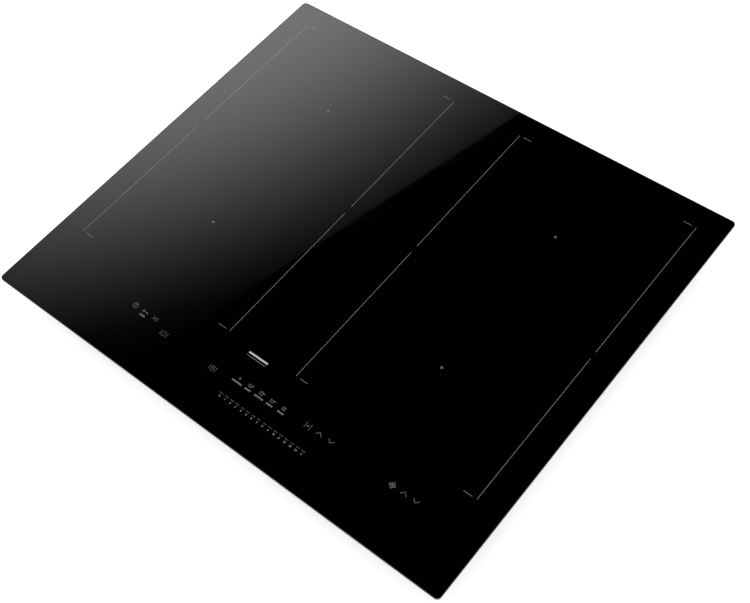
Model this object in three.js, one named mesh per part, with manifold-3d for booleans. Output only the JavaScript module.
// Built-in electric induction cooktop: a frameless black glass plate over a shallow steel casing.
// Millimetres, +Z up, +X to the right and +Y to the back for a cook who stands in front of it.
// Origin: centre of the footprint, on the underside of the casing.

import * as THREE from 'three';
import { mergeVertices } from 'three/addons/utils/BufferGeometryUtils.js';
import Module from 'manifold-3d';

const wasm = await Module();
wasm.setup();

// ---- Driving dimensions -------------------------------------------------------------------

const OVERALL_HEIGHT = 54;
const GLASS = { width: 590, depth: 520, thickness: 4, corner: 5, edge: 0.7 };
const CUTOUT = { width: 560, depth: 490 };          // standard worktop cut-out
const CUTOUT_PLAY = 2;                              // casing to cut-out, on each side
const SHEET = 1.2;                                  // folded steel sheet
const GAP = 0.3;                                    // clearance between touching pieces
const GLASS_UNDERSIDE = OVERALL_HEIGHT - GLASS.thickness;

const CASING = {
  width: CUTOUT.width - 2 * CUTOUT_PLAY,
  depth: CUTOUT.depth - 2 * CUTOUT_PLAY,
  corner: 6,
  top: 47,
};
const FRAME = { under: 47.4, top: 48.6, flange: 12, flangeDepth: 10, innerCorner: 4, leg: 11.4, play: 0.4 };
const BEAD = { inset: 2, sideWidth: 6, endWidth: 4.5, corner: 5, innerCorner: 4 };
const GASKET = { beyondCutout: 10, fromCutout: 1, corner: 8, innerCorner: 4, under: 47.7 };

// Openings and pressed beads of the casing. Slots and beads are given by half their width.
const INLET_SLOTS = { rowsEachWay: 3, pitch: 8, half: 1.8, beyondInlet: 3 };
const OUTLET_SLOTS = { columnsEachWay: 4, pitch: 11, half: 1.9, heights: [14, 36] };
const FLOOR_BEADS = {
  press: 0.5, half: 4, acrossY: [-130, -85, -40], acrossHalf: 190, alongX: 85, alongY: [-10, 130],
};

// Cooking zones: one pair of coils on each side, the two of a pair 200 mm apart.
const ZONE = { x: 155, backY: 135, frontY: -65 };
const SIDES = { left: -1, right: 1 };
const ROWS = { front: ZONE.frontY, back: ZONE.backY };

// Coil deck: an aluminium plate that four springs press up towards the glass.
const DECK = {
  width: 226, depth: 396, corner: 6, y: 35, under: 34.8, top: 36.4, edge: 6, sheet: 1.5, leadHole: 11,
};
const SPRING_AT = { inner: 53, outer: 257, front: -130, back: 215 };
const SPRING = { radius: 6, wire: 1.4, from: 16.3, to: DECK.under - GAP, turns: 3.5, stepsPerTurn: 6 };

// One coil, from the deck up: ferrite, former, winding, and the sensor at its centre that touches the glass.
const COIL = { width: 206, depth: 186, corner: 60, rim: 2, bore: 7 };
const FERRITE = { from: 36.8, to: 39.5, arms: 8, reach: 78, arm: 14, hole: 11 };
const FORMER = { from: 39.9, to: 42.7, rimTop: 47.4, hub: 17, hubInside: 15, foot: 5, footX: 80, footY: 68 };
const WINDING = { from: 43.1, to: 47.8, inset: 4, hole: [80, 60, 26] };
const SENSOR = { from: 38, stem: 5, collar: 12, collarTo: 45, cap: 8, capFrom: 45.6, play: 0.4 };

// Swivelling clamps that hold the cooktop down into the worktop.
const CLAMP = {
  x: 256, frontY: -165, backY: 150, width: 18, sheet: 2, under: 4.4, rise: 4.6,
  length: 60, pad: 16, tail: 10, rib: 1.5, ribLength: 24, holePlay: 0.4,
};
const POCKET = { inner: 237, before: 63, behind: 16, ceiling: 17 };
const SCREW = {
  shaft: 2, head: 5, headHeight: 3.5, tip: 22, hole: 2.5, boss: 4.5, bossHeight: 5,
  recess: 3, recessHalf: 0.6, recessDepth: 1.6,
};

// Electronics in the casing.
const LINER = {
  width: 540, depth: 472, from: 1.6, to: 3.6, springSeat: 7.5, springPeg: 3.6, pegRise: 7, boardSeat: 3,
};
const BOARD = { from: 7.3, to: 8.9 };
const POWER_BOARD = { width: 158, front: -146, back: 60, seatX: 72, seatInset: 8 };
const FILTER_BOARD = { width: 88, front: -60, back: 150, seatX: 36, seatFront: -56, seatBack: 144 };
const HEAT_SINK = { width: 60, front: -75, back: 55, from: 9.3, base: 3, top: 29.3, fins: 9, finHalf: 0.8 };
const FAN = {
  y: 150, size: 92, corner: 12, from: 4, to: 28, skin: 2, chamber: 42, inlet: 30, motorStub: 5,
  outletX: [-34, 26], outletBack: -6, outletSkin: 3,
};
const IMPELLER = {
  radius: 38, from: 8, to: 24, plate: 1.6, hub: 13, blades: 12, bladeFrom: 23, bladeTo: 37, bladeHalf: 0.7,
  pivot: 30, turn: 38,
};

// Components on the boards. Tops are heights above the underside of the casing.
const POWER_PARTS = {
  capacitors: { x: [-76, -48], at: [-60, -10, 38], half: 20, top: 28 },
  chokes: { at: [[58, -40], [58, 10]], radius: 15, top: 27 },
  transistors: { x: [-38, -33], at: [-55, -20, 15, 45], half: 8, top: 26 },
  relays: { x: [-64, -38], at: [-125, -100], half: 9, top: 24 },
  electrolytics: { at: [[0, -115], [30, -115]], radius: 11, top: 29 },
  chip: { x: [50, 66], y: [-125, -105], top: 11 },
};
const FILTER_PARTS = {
  choke: { at: [-18, 105], radius: 19, top: 25 },
  electrolytic: { at: [-24, 15], radius: 9, top: 27 },
  blocks: [
    { x: [14, 38], y: [85, 125], top: 24 },
    { x: [14, 38], y: [35, 70], top: 22 },
    { x: [-36, -14], y: [45, 70], top: 20 },
    { x: [2, 30], y: [-10, 15], top: 23 },
    { x: [-30, 30], y: [-52, -44], top: 15 },
  ],
};

// Connection compartment at the middle of the back, closed from below by a hinged cover.
const RECESS = { halfWidth: 42, front: 172, ceiling: 24 };
const COVER = {
  hingeY: 176, hingeZ: 3, sheet: 2.2, under: 0.3, play: 1,
  pin: 1.3, pinHole: 1.7, pinLength: 6, pinInset: 1.2, pinHoleLength: 4,
  rim: 2, rimInset: 1.5, rimSide: 3, rimTop: 8,
  gripX: [-8, 0, 8], gripHalf: 1.6, gripDepth: 0.8, gripFrom: 16, gripTo: 6,
};
const TERMINALS = {
  halfWidth: 34, front: 184, back: 208, from: 8, polesEachWay: 2, pitch: 13,
  wireHalf: 4, wireHeights: [11, 19], wireDepth: 3, screwWell: 3.2, screwWellTop: 12, screwY: 194,
};
const INLET = {
  x: -22, z: 13, hole: 8, bore: 5.5, flange: 10, flangeThick: 3, outerThick: 1.6, chamfer: 0.8,
};

// Touch controls along the front edge.
const CONTROLS = {
  y: -205, left: -165, right: 240, depth: 53, wall: 1.6, from: 39.6, board: 41.4, boardThick: 1.6, rimTop: 46,
  legX: [-150, -45, 95, 224], leg: 4, cableSlotHalf: 11, cableSlotY: [2, 8],
};
const TOUCH_KEYS_X = [-147, -132.8, -118, -98, -29, 1.7, 16.2, 30.8, 45, 59.5, 105.2, 119.4, 208.5, 221.8];
const CONTACT = { radius: 4.5, y: 9, play: 0.4 };
const PROCESSOR = { x: -90, y: -12, half: 9, halfDepth: 7, height: 2.4 };
const SLIDER = { from: -1.9, to: 105, steps: 16, y: -220 };
const LIGHT_GUIDE = { beyond: 5, half: 4.5, play: 0.6, windowHalf: 2.2, windowHalfDepth: 1, floor: 1.6 };

// Flat cable: half its width and thickness, and its way in the plane x = 0 as [y, z] pairs.
const CABLE = {
  half: 8,
  halfThick: 0.5,
  route: [[-200, CONTROLS.board - GAP], [-199, 36], [-180, 24], [-120, 15], [-66, 12]],
};

const OVER = 1;                                     // how far a cutting solid reaches past the piece it cuts
const SUNK = 0.5;                                   // how far a joined solid reaches into its neighbour

// ---- Solids -------------------------------------------------------------------------------

function toSolid(geometry) {
  const bare = geometry.clone();
  bare.deleteAttribute('normal');
  bare.deleteAttribute('uv');
  const merged = mergeVertices(bare, 1e-4);
  return new wasm.Manifold(new wasm.Mesh({
    numProp: 3,
    vertProperties: new Float32Array(merged.attributes.position.array),
    triVerts: new Uint32Array(merged.index.array),
  }));
}

function toGeometry(solid) {
  const mesh = solid.getMesh();
  const geometry = new THREE.BufferGeometry();
  geometry.setAttribute('position', new THREE.BufferAttribute(mesh.vertProperties, 3));
  geometry.setIndex(new THREE.BufferAttribute(mesh.triVerts, 1));
  geometry.computeVertexNormals();
  return geometry;
}

// A box between two x, two y and two z values.
function block([x0, x1], [y0, y1], [z0, z1]) {
  const geometry = new THREE.BoxGeometry(x1 - x0, y1 - y0, z1 - z0);
  geometry.translate((x0 + x1) / 2, (y0 + y1) / 2, (z0 + z1) / 2);
  return toSolid(geometry);
}

// An upright cylinder.
function rod(radius, [z0, z1], [x, y] = [0, 0], sides = 16) {
  const geometry = new THREE.CylinderGeometry(radius, radius, z1 - z0, sides);
  geometry.rotateX(Math.PI / 2);
  geometry.translate(x, y, (z0 + z1) / 2);
  return toSolid(geometry);
}

function roundedRect(width, depth, radius) {
  const x = width / 2 - radius;
  const y = depth / 2 - radius;
  const shape = new THREE.Shape();
  shape.absarc(x, y, radius, 0, Math.PI / 2);
  shape.absarc(-x, y, radius, Math.PI / 2, Math.PI);
  shape.absarc(-x, -y, radius, Math.PI, Math.PI * 1.5);
  shape.absarc(x, -y, radius, Math.PI * 1.5, Math.PI * 2);
  shape.closePath();
  return shape;
}

function slab(shape, [z0, z1], curveSegments = 2) {
  const geometry = new THREE.ExtrudeGeometry(shape, { depth: z1 - z0, bevelEnabled: false, curveSegments });
  geometry.translate(0, 0, z0);
  return toSolid(geometry);
}

// A flat rectangular ring with rounded corners.
function rectRing(outer, inner, heights, curveSegments = 1) {
  const plate = slab(roundedRect(...outer), heights, curveSegments);
  const hole = slab(roundedRect(...inner), [heights[0] - OVER, heights[1] + OVER], curveSegments);
  return plate.subtract(hole);
}

// A turned piece: points are [radius, height] around a closed profile.
function turned(points, segments = 16) {
  const profile = points.map(([radius, height]) => new THREE.Vector2(radius, height));
  const geometry = new THREE.LatheGeometry([...profile, profile[0]], segments);
  geometry.rotateX(Math.PI / 2);
  return toSolid(geometry);
}

const join = (solids) => solids.reduce((whole, next) => whole.add(next));
const around = (centre, half) => [centre - half, centre + half];

// ---- Materials ----------------------------------------------------------------------------

const paint = (color, roughness, metalness) => () => (
  new THREE.MeshStandardMaterial({ color, roughness, metalness })
);
const blackGlass = paint(0x050506, 0.06, 0);
const silicone = paint(0x2b2b2d, 0.7, 0);
const foam = paint(0x3a3a3c, 0.95, 0);
const zincSteel = paint(0xa9adb0, 0.45, 0.9);
const springSteel = paint(0x8d9196, 0.35, 1);
const aluminium = paint(0xc7c9cc, 0.38, 1);
const copper = paint(0xb4693a, 0.4, 0.9);
const ferrite = paint(0x33343a, 0.75, 0);
const whitePlastic = paint(0xdcdcd6, 0.5, 0);
const blackPlastic = paint(0x1b1c1e, 0.55, 0);
const greenBoard = paint(0x1f5a34, 0.5, 0);

const hob = new THREE.Group();

function place(name, solid, material, [x, y, z] = [0, 0, 0]) {
  const mesh = new THREE.Mesh(toGeometry(solid), material());
  mesh.name = name;
  mesh.position.set(x, y, z);
  hob.add(mesh);
}

// ---- Glass plate, its bonding and its seal --------------------------------------------------

function makeGlassPlate() {
  const { width, depth, thickness, corner, edge } = GLASS;
  const geometry = new THREE.ExtrudeGeometry(
    roundedRect(width - 2 * edge, depth - 2 * edge, corner - edge),
    {
      depth: thickness - 2 * edge,
      bevelThickness: edge,
      bevelSize: edge,
      bevelSegments: 1,
      curveSegments: 3,
    },
  );
  geometry.translate(0, 0, GLASS_UNDERSIDE + edge);
  return toSolid(geometry);
}

function makeBondingBead() {
  const { inset, sideWidth, endWidth, corner, innerCorner } = BEAD;
  const width = CASING.width - 2 * inset;
  const depth = CASING.depth - 2 * inset;
  return rectRing(
    [width, depth, corner],
    [width - 2 * sideWidth, depth - 2 * endWidth, innerCorner],
    [FRAME.top + GAP, GLASS_UNDERSIDE - GAP],
  );
}

function makeWorktopGasket() {
  const { beyondCutout, fromCutout, corner, innerCorner, under } = GASKET;
  return rectRing(
    [CUTOUT.width + 2 * beyondCutout, CUTOUT.depth + 2 * beyondCutout, corner],
    [CUTOUT.width + 2 * fromCutout, CUTOUT.depth + 2 * fromCutout, innerCorner],
    [under, GLASS_UNDERSIDE - GAP],
  );
}

// Folded frame on top of the casing: the glass is bonded to its flange, and its leg stands inside the wall.
function makeSupportFrame() {
  const { width, depth, corner } = CASING;
  const legWidth = width - 2 * (SHEET + FRAME.play);
  const legDepth = depth - 2 * (SHEET + FRAME.play);
  const flange = rectRing(
    [width, depth, corner],
    [width - 2 * FRAME.flange, depth - 2 * FRAME.flangeDepth, FRAME.innerCorner],
    [FRAME.under, FRAME.top],
  );
  const leg = rectRing(
    [legWidth, legDepth, corner - SHEET],
    [legWidth - 2 * SHEET, legDepth - 2 * SHEET, corner - 2 * SHEET],
    [FRAME.under - FRAME.leg, FRAME.under + SHEET / 2],
  );
  return flange.add(leg);
}

// ---- Casing ---------------------------------------------------------------------------------

// Each of these spaces is open from below, and its outline can be grown to make the walls around it.
function pocketSpace(side, y, growth = 0) {
  const across = [POCKET.inner - growth, CASING.width / 2 + OVER];
  return block(
    side > 0 ? across : [-across[1], -across[0]],
    [y - POCKET.before - growth, y + POCKET.behind + growth],
    [-OVER, POCKET.ceiling + growth],
  );
}

function connectionSpace(growth = 0) {
  return block(
    around(0, RECESS.halfWidth + growth),
    [RECESS.front - growth, CASING.depth / 2 - SHEET],
    [-OVER, RECESS.ceiling + growth],
  );
}

const CLAMP_PLACES = Object.entries(SIDES).flatMap(([sideName, side]) => [
  { name: `front_${sideName}`, side, y: CLAMP.frontY },
  { name: `back_${sideName}`, side, y: CLAMP.backY },
]);

function insertedSpaces(growth) {
  return join([...CLAMP_PLACES.map(({ side, y }) => pocketSpace(side, y, growth)), connectionSpace(growth)]);
}

// Air inlet under a fan: parallel slots that fill a circle.
function inletSlots(x) {
  const { rowsEachWay, pitch, half, beyondInlet } = INLET_SLOTS;
  const slots = [];
  for (let row = -rowsEachWay; row <= rowsEachWay; row += 1) {
    const offset = row * pitch;
    const reach = Math.sqrt((FAN.inlet + beyondInlet) ** 2 - offset ** 2);
    slots.push(block(around(x, reach), around(FAN.y + offset, half), [-OVER, SHEET + OVER]));
  }
  return join(slots);
}

// Air outlet in the front wall: upright slots in front of each heat sink.
function outletSlots(x) {
  const { columnsEachWay, pitch, half, heights } = OUTLET_SLOTS;
  const slots = [];
  for (let column = -columnsEachWay; column <= columnsEachWay; column += 1) {
    slots.push(block(around(x + column * pitch, half), around(-CASING.depth / 2, SHEET + OVER), heights));
  }
  return join(slots);
}

// Shallow stiffening beads pressed into the floor.
function floorBeads() {
  const { press, half, acrossY, acrossHalf, alongX, alongY } = FLOOR_BEADS;
  const heights = [-OVER, press];
  const across = acrossY.map((y) => block(around(0, acrossHalf), around(y, half), heights));
  const along = Object.values(SIDES).map((side) => block(around(side * alongX, half), alongY, heights));
  return join([...across, ...along]);
}

// The folded tray of the casing, cut away where the clamp brackets and the connection box are let in.
function makeBottomCasing() {
  const { width, depth, corner, top } = CASING;
  const outside = slab(roundedRect(width, depth, corner), [0, top]);
  const inside = slab(
    roundedRect(width - 2 * SHEET, depth - 2 * SHEET, corner - SHEET),
    [SHEET, top + OVER],
  );
  const airWays = Object.values(SIDES).flatMap((side) => [
    inletSlots(side * ZONE.x),
    outletSlots(side * ZONE.x),
  ]);
  const inletHole = new THREE.CylinderGeometry(INLET.hole, INLET.hole, 2 * (SHEET + GAP + OVER), 14);
  inletHole.translate(INLET.x, CASING.depth / 2, INLET.z);
  return outside
    .subtract(inside)
    .subtract(insertedSpaces(SHEET + GAP))
    .subtract(join([...airWays, toSolid(inletHole), floorBeads()]));
}

// Pressed bracket around one clamp, with the threaded boss for its screw.
function makeClampBracket(side, y) {
  const wall = pocketSpace(side, y, SHEET)
    .intersect(block(around(0, CASING.width / 2), around(0, CASING.depth), [0, CASING.top]));
  const at = [side * CLAMP.x, y];
  const boss = rod(SCREW.boss, [POCKET.ceiling, POCKET.ceiling + SCREW.bossHeight], at, 10);
  return wall.subtract(pocketSpace(side, y)).add(boss).subtract(rod(SCREW.hole, [0, CASING.top], at, 10));
}

// Box around the terminal block, open at the back and from below, with the holes for the cover's pins.
function makeConnectionBox() {
  const pinHoles = Object.values(SIDES).map((side) => {
    const hole = new THREE.CylinderGeometry(COVER.pinHole, COVER.pinHole, COVER.pinHoleLength, 10);
    hole.rotateZ(Math.PI / 2);
    hole.translate(side * RECESS.halfWidth, COVER.hingeY, COVER.hingeZ);
    return toSolid(hole);
  });
  const back = CASING.depth / 2 - SHEET - GAP;
  return connectionSpace(SHEET)
    .intersect(block(around(0, CASING.width / 2), [0, back], [0, CASING.top]))
    .subtract(connectionSpace())
    .subtract(join(pinHoles));
}

// ---- Clamps ---------------------------------------------------------------------------------

// The clamp is folded from one strip: arm, riser and pad. It is stored along -Y from its screw.
function makeClamp() {
  const { length, width, sheet, rise, pad, tail, rib, ribLength, holePlay } = CLAMP;
  const riserAt = -length + pad;
  const arm = block(around(0, width / 2), [riserAt, tail], [0, sheet]);
  const riser = block(around(0, width / 2), [riserAt, riserAt + sheet], [0, rise]);
  const foot = block(around(0, width / 2), [-length, riserAt + sheet], [rise - sheet, rise]);
  const stiffener = block(
    around(0, rib),
    [riserAt + sheet - SUNK, riserAt + ribLength],
    [sheet - SUNK, sheet + rib],
  );
  const hole = rod(SCREW.shaft + holePlay, [-OVER, sheet + OVER], [0, 0], 8);
  return join([arm, riser, foot, stiffener]).subtract(hole);
}

function makeClampScrew() {
  const underHead = -GAP - SCREW.headHeight;
  const head = rod(SCREW.head, [underHead, -GAP], [0, 0], 12);
  const shaft = rod(SCREW.shaft, [-GAP - OVER, SCREW.tip - CLAMP.under], [0, 0], 8);
  const recessHeights = [underHead - OVER, underHead + SCREW.recessDepth];
  const long = around(0, SCREW.recess);
  const short = around(0, SCREW.recessHalf);
  const cross = block(long, short, recessHeights).add(block(short, long, recessHeights));
  return head.add(shaft).subtract(cross);
}

// ---- Coil decks -----------------------------------------------------------------------------

function makeCoilDeck() {
  const { width, depth, corner, under, top, edge, sheet, leadHole } = DECK;
  const plate = slab(roundedRect(width, depth, corner), [under, top], 1);
  const skirt = rectRing(
    [width, depth, corner],
    [width - 2 * sheet, depth - 2 * sheet, corner - sheet],
    [under - edge, under + sheet / 2],
  );
  const leadHoles = Object.values(ROWS).map((y) => (
    rod(leadHole, [under - OVER, top + OVER], [0, y - DECK.y], 10)
  ));
  return plate.add(skirt).subtract(join(leadHoles));
}

function makeFerriteStar() {
  const arms = [];
  for (let index = 0; index < FERRITE.arms / 2; index += 1) {
    const bar = block(around(0, FERRITE.reach), around(0, FERRITE.arm / 2), [FERRITE.from, FERRITE.to]);
    arms.push(bar.rotate([0, 0, (360 / FERRITE.arms) * index]));
  }
  return join(arms).subtract(rod(FERRITE.hole, [FERRITE.from - OVER, FERRITE.to + OVER], [0, 0], 8));
}

function makeCoilFormer() {
  const { width, depth, corner, rim, bore } = COIL;
  const disc = slab(roundedRect(width, depth, corner), [FORMER.from, FORMER.to]);
  const wall = rectRing(
    [width, depth, corner],
    [width - 2 * rim, depth - 2 * rim, corner - rim],
    [FORMER.from, FORMER.rimTop],
    2,
  );
  const hub = rod(FORMER.hub, [FORMER.from, FORMER.rimTop], [0, 0], 12)
    .subtract(rod(FORMER.hubInside, [FORMER.to, FORMER.rimTop + OVER], [0, 0], 12));
  const feet = [[-1, -1], [1, -1], [1, 1], [-1, 1]].map(([x, y]) => (
    rod(FORMER.foot, [DECK.top + GAP, FORMER.to], [x * FORMER.footX, y * FORMER.footY], 6)
  ));
  return join([disc, wall, hub, ...feet]).subtract(rod(bore, [0, FORMER.to + OVER], [0, 0], 12));
}

function makeCoilWinding() {
  const { width, depth, corner } = COIL;
  const { from, to, inset, hole } = WINDING;
  return rectRing([width - 2 * inset, depth - 2 * inset, corner - inset], hole, [from, to], 2);
}

function makeTemperatureSensor() {
  const { from, stem, collar, collarTo, cap, capFrom, play } = SENSOR;
  const top = GLASS_UNDERSIDE - play;
  return turned([
    [0, from], [stem, from], [stem, WINDING.from], [collar, WINDING.from], [collar, collarTo],
    [cap, capFrom], [cap, top], [0, top],
  ], 10);
}

// Compression spring as a swept helix, cut flat at both ends.
class Helix extends THREE.Curve {
  getPoint(t, target = new THREE.Vector3()) {
    const angle = t * SPRING.turns * Math.PI * 2;
    const height = SPRING.from + SPRING.wire + t * (SPRING.to - SPRING.from - 2 * SPRING.wire);
    return target.set(Math.cos(angle) * SPRING.radius, Math.sin(angle) * SPRING.radius, height);
  }
}

function makeDeckSpring() {
  const section = new THREE.Shape();
  section.absarc(0, 0, SPRING.wire / 2, 0, Math.PI * 2);
  return toSolid(new THREE.ExtrudeGeometry(section, {
    steps: SPRING.turns * SPRING.stepsPerTurn,
    bevelEnabled: false,
    curveSegments: 2,
    extrudePath: new Helix(),
  }));
}

// ---- Electronics ----------------------------------------------------------------------------

const onBoard = (top) => [BOARD.to - SUNK, top];
const blockOnBoard = ({ x, y, top }) => block(x, y, onBoard(top));

function circuitBoard({ width, front, back }) {
  return block(around(0, width / 2), [front, back], [BOARD.from, BOARD.to]);
}

// Inverter board: film capacitors, current transformers, driver chips and the power transistors.
function makePowerBoard() {
  const { capacitors, chokes, transistors, relays, electrolytics, chip } = POWER_PARTS;
  const rows = [capacitors, transistors, relays].flatMap(({ x, at, half, top }) => (
    at.map((y) => block(x, around(y, half), onBoard(top)))
  ));
  const rounds = [chokes, electrolytics].flatMap(({ at, radius, top }) => (
    at.map((centre) => rod(radius, onBoard(top), centre, 10))
  ));
  return join([circuitBoard(POWER_BOARD), ...rows, ...rounds, blockOnBoard(chip)]);
}

// Mains filter: common-mode choke, suppression capacitors, fuse and a small power supply.
function makeFilterBoard() {
  const { choke, electrolytic, blocks } = FILTER_PARTS;
  return join([
    circuitBoard(FILTER_BOARD),
    rod(choke.radius, onBoard(choke.top), choke.at, 14),
    rod(electrolytic.radius, onBoard(electrolytic.top), electrolytic.at, 12),
    ...blocks.map(blockOnBoard),
  ]);
}

function makeHeatSink() {
  const { width, front, back, from, base, top, fins, finHalf } = HEAT_SINK;
  const plates = [block(around(0, width / 2), [front, back], [from, from + base])];
  const pitch = (width - 2 * finHalf) / (fins - 1);
  for (let index = 0; index < fins; index += 1) {
    const x = -width / 2 + finHalf + index * pitch;
    plates.push(block(around(x, finHalf), [front, back], [from + base - SUNK, top]));
  }
  return join(plates);
}

// Radial blower lying flat: air comes in from below and leaves towards the heat sink.
function makeFanHousing() {
  const { size, corner, from, to, skin, chamber, inlet, outletX, outletBack, outletSkin, motorStub } = FAN;
  const body = slab(roundedRect(size, size, corner), [from, to]);
  const hollow = rod(chamber, [from + skin, to - skin], [0, 0], 24);
  const mouth = rod(inlet, [from - OVER, from + skin + OVER], [0, 0], 20);
  const outlet = block(outletX, [-size / 2 - OVER, outletBack], [from + outletSkin, to - outletSkin]);
  const stub = rod(motorStub, [IMPELLER.to + GAP + 0.1, to - skin / 2], [0, 0], 8);
  return body.subtract(join([hollow, mouth, outlet])).add(stub);
}

function makeFanImpeller() {
  const { radius, from, to, plate, hub, blades, bladeFrom, bladeTo, bladeHalf, pivot, turn } = IMPELLER;
  const underPlate = [from, to - plate + SUNK];
  const pieces = [
    rod(radius, [to - plate, to], [0, 0], 20),
    rod(hub, underPlate, [0, 0], 12),
  ];
  for (let index = 0; index < blades; index += 1) {
    const blade = block([bladeFrom, bladeTo], around(0, bladeHalf), underPlate)
      .translate([-pivot, 0, 0])
      .rotate([0, 0, turn])
      .translate([pivot, 0, 0]);
    pieces.push(blade.rotate([0, 0, (360 / blades) * index]));
  }
  return join(pieces);
}

// Plastic liner on the casing floor, with the seats for the boards and for the deck springs.
function makeElectronicsTray() {
  const { width, depth, from, to, springSeat, springPeg, pegRise, boardSeat } = LINER;
  const seatOfBoard = (at) => rod(boardSeat, [to - SUNK, BOARD.from - GAP], at, 4);
  const seats = [];
  for (const side of Object.values(SIDES)) {
    for (const x of [SPRING_AT.inner, SPRING_AT.outer]) {
      for (const y of [SPRING_AT.front, SPRING_AT.back]) {
        seats.push(rod(springSeat, [to - SUNK, SPRING.from - GAP], [side * x, y], 8));
        seats.push(rod(springPeg, [SPRING.from - GAP - OVER, SPRING.from + pegRise], [side * x, y], 6));
      }
    }
    for (const x of [-POWER_BOARD.seatX, POWER_BOARD.seatX]) {
      for (const y of [POWER_BOARD.front + POWER_BOARD.seatInset, POWER_BOARD.back - POWER_BOARD.seatInset]) {
        seats.push(seatOfBoard([side * ZONE.x + x, y]));
      }
    }
    for (const y of [FILTER_BOARD.seatFront, FILTER_BOARD.seatBack]) {
      seats.push(seatOfBoard([side * FILTER_BOARD.seatX, y]));
    }
  }
  const floor = block(around(0, width / 2), around(0, depth / 2), [from, to]);
  const airWays = Object.values(SIDES).map((side) => (
    rod(FAN.inlet + INLET_SLOTS.beyondInlet + OVER, [from - OVER, to + OVER], [side * ZONE.x, FAN.y], 16)
  ));
  const clear = insertedSpaces(SHEET + 2 * GAP).add(join(airWays));
  return floor.subtract(clear).add(join(seats));
}

// ---- Mains connection -----------------------------------------------------------------------

function makeTerminalBlock() {
  const { halfWidth, front, back, from, polesEachWay, pitch } = TERMINALS;
  const { wireHalf, wireHeights, wireDepth, screwWell, screwWellTop, screwY } = TERMINALS;
  const body = block(around(0, halfWidth), [front, back], [from, RECESS.ceiling - GAP]);
  const cuts = [];
  for (let pole = -polesEachWay; pole <= polesEachWay; pole += 1) {
    cuts.push(block(around(pole * pitch, wireHalf), [back - wireDepth, back + OVER], wireHeights));
    cuts.push(rod(screwWell, [from - OVER, screwWellTop], [pole * pitch, screwY], 8));
  }
  return body.subtract(join(cuts));
}

function makeTerminalCover() {
  const halfWidth = RECESS.halfWidth - COVER.play;
  const back = CASING.depth / 2 - SHEET - COVER.play;
  const { hingeY, hingeZ, under, sheet, pin, pinLength, pinInset, rim, rimInset, rimSide, rimTop } = COVER;
  const plate = block(around(0, halfWidth), [hingeY - OVER, back], [under, under + sheet]);
  const rimBack = back - rimInset;
  const lip = block([0, halfWidth - rimSide], [rimBack - rim, rimBack], [under + sheet - SUNK, rimTop]);
  const grips = COVER.gripX.map((x) => block(
    around(x, COVER.gripHalf),
    [back - COVER.gripFrom, back - COVER.gripTo],
    [-OVER, under + COVER.gripDepth],
  ));
  const pins = Object.values(SIDES).map((side) => {
    const turnedPin = new THREE.CylinderGeometry(pin, pin, pinLength, 10);
    turnedPin.rotateZ(Math.PI / 2);
    turnedPin.translate(side * (halfWidth - pinInset), hingeY, hingeZ);
    return toSolid(turnedPin);
  });
  return join([plate, lip, ...pins]).subtract(join(grips));
}

function makeCordInlet() {
  const { bore, flange, flangeThick, outerThick, chamfer } = INLET;
  const neck = INLET.hole - GAP;
  const outerFrom = flangeThick + SHEET + 2 * GAP;
  const outerTo = outerFrom + outerThick;
  const ring = turned([
    [bore, 0], [flange, 0], [flange, flangeThick], [neck, flangeThick],
    [neck, outerFrom], [flange, outerFrom], [flange - chamfer, outerTo], [bore, outerTo],
  ], 14);
  return ring.rotate([-90, 0, 0]);
}

// ---- Controls -------------------------------------------------------------------------------

function makeControlCarrier() {
  const { left, right, depth, wall, from, board, rimTop, legX, leg, cableSlotHalf, cableSlotY } = CONTROLS;
  const centre = (left + right) / 2;
  const half = (right - left) / 2;
  const tray = block(around(0, half), around(0, depth / 2), [from, rimTop]).subtract(
    block(around(0, half - wall), around(0, depth / 2 - wall), [board - GAP, rimTop + OVER]),
  );
  const cableSlot = block(around(-centre, cableSlotHalf), cableSlotY, [from - OVER, board]);
  const legs = legX.map((x) => rod(leg, [LINER.to + GAP, from + SUNK], [x - centre, 0], 8));
  return join([tray, ...legs]).subtract(cableSlot);
}

// Board with a spring contact under each touch key, its processor and the light guide under the slider.
function makeControlBoard() {
  const { left, right, depth, wall, board, boardThick } = CONTROLS;
  const centre = (left + right) / 2;
  const margin = wall + GAP;
  const top = board + boardThick;
  const plate = block(around(0, (right - left) / 2 - margin), around(0, depth / 2 - margin), [board, top]);
  const contacts = TOUCH_KEYS_X.map((x) => (
    rod(CONTACT.radius, [top - SUNK, GLASS_UNDERSIDE - CONTACT.play], [x - centre, CONTACT.y], 6)
  ));
  const { x, y, half, halfDepth, height } = PROCESSOR;
  const processor = block(around(x, half), around(y, halfDepth), [top - SUNK, board + 1 + height]);
  return join([plate, ...contacts, processor, makeLightGuide().translate([-centre, -CONTROLS.y, 0])]);
}

// Light guide with one window for each step of the slider.
function makeLightGuide() {
  const { beyond, half, play, windowHalf, windowHalfDepth, floor } = LIGHT_GUIDE;
  const pitch = (SLIDER.to - SLIDER.from) / (SLIDER.steps - 1);
  const from = CONTROLS.board + CONTROLS.boardThick - SUNK;
  const across = [SLIDER.from - beyond, SLIDER.to + beyond];
  const body = block(across, around(SLIDER.y, half), [from, GLASS_UNDERSIDE - play]);
  const windows = [];
  for (let step = 0; step < SLIDER.steps; step += 1) {
    const window = around(SLIDER.from + step * pitch, windowHalf);
    windows.push(block(window, around(SLIDER.y, windowHalfDepth), [CONTROLS.board + floor, GLASS_UNDERSIDE]));
  }
  return body.subtract(join(windows));
}

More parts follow.
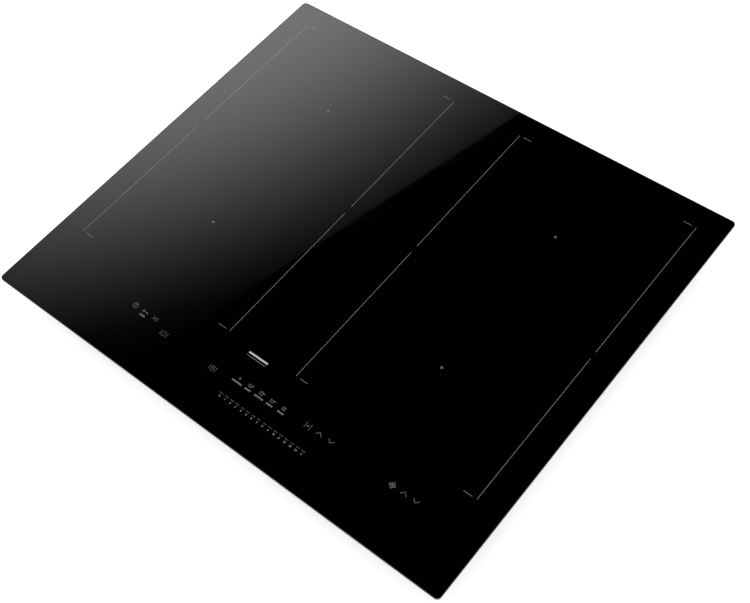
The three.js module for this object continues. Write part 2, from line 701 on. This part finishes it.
// Flat cable from the control board down to the filter board, in the gap between the two decks.
function makeRibbonCable() {
  const { half, halfThick, route } = CABLE;
  const path = new THREE.CatmullRomCurve3(route.map(([y, z]) => new THREE.Vector3(0, y, z)));
  const section = new THREE.Shape();
  section.moveTo(-half, -halfThick);
  section.lineTo(half, -halfThick);
  section.lineTo(half, halfThick);
  section.lineTo(-half, halfThick);
  section.closePath();
  return toSolid(new THREE.ExtrudeGeometry(section, { steps: 14, bevelEnabled: false, extrudePath: path }));
}

// ---- Assembly -------------------------------------------------------------------------------

place('glass_plate', makeGlassPlate(), blackGlass);
place('bonding_bead', makeBondingBead(), silicone);
place('worktop_gasket', makeWorktopGasket(), foam);
place('support_frame', makeSupportFrame(), zincSteel);
place('bottom_casing', makeBottomCasing(), zincSteel);

for (const { name, side, y } of CLAMP_PLACES) {
  const at = [side * CLAMP.x, y, CLAMP.under];
  place(`clamp_bracket_${name}`, makeClampBracket(side, y), zincSteel);
  place(`mounting_clamp_${name}`, makeClamp(), springSteel, at);
  place(`clamp_screw_${name}`, makeClampScrew(), springSteel, at);
}

for (const [sideName, side] of Object.entries(SIDES)) {
  place(`coil_deck_${sideName}`, makeCoilDeck(), aluminium, [side * ZONE.x, DECK.y, 0]);
  for (const [rowName, y] of Object.entries(ROWS)) {
    const at = [side * ZONE.x, y, 0];
    place(`ferrite_star_${rowName}_${sideName}`, makeFerriteStar(), ferrite, at);
    place(`coil_former_${rowName}_${sideName}`, makeCoilFormer(), whitePlastic, at);
    place(`coil_winding_${rowName}_${sideName}`, makeCoilWinding(), copper, at);
    place(`temperature_sensor_${rowName}_${sideName}`, makeTemperatureSensor(), blackPlastic, at);
  }
  for (const [column, x] of [['inner', SPRING_AT.inner], ['outer', SPRING_AT.outer]]) {
    for (const [rowName, y] of [['front', SPRING_AT.front], ['back', SPRING_AT.back]]) {
      place(`deck_spring_${rowName}_${column}_${sideName}`, makeDeckSpring(), springSteel, [side * x, y, 0]);
    }
  }

  place(`power_board_${sideName}`, makePowerBoard(), greenBoard, [side * ZONE.x, 0, 0]);
  place(`heat_sink_${sideName}`, makeHeatSink(), aluminium, [side * ZONE.x, 0, 0]);
  place(`fan_housing_${sideName}`, makeFanHousing(), blackPlastic, [side * ZONE.x, FAN.y, 0]);
  place(`fan_impeller_${sideName}`, makeFanImpeller(), blackPlastic, [side * ZONE.x, FAN.y, 0]);
}

place('electronics_tray', makeElectronicsTray(), whitePlastic);
place('filter_board', makeFilterBoard(), greenBoard);
place('connection_box', makeConnectionBox(), zincSteel);
place('terminal_block', makeTerminalBlock(), whitePlastic);
place('terminal_cover', makeTerminalCover(), blackPlastic);

const inletY = CASING.depth / 2 - SHEET - GAP - INLET.flangeThick;
place('cord_inlet', makeCordInlet(), blackPlastic, [INLET.x, inletY, INLET.z]);

const controlsAt = [(CONTROLS.left + CONTROLS.right) / 2, CONTROLS.y, 0];
place('control_carrier', makeControlCarrier(), whitePlastic, controlsAt);
place('control_board', makeControlBoard(), greenBoard, controlsAt);
place('ribbon_cable', makeRibbonCable(), blackPlastic);

export default hob;
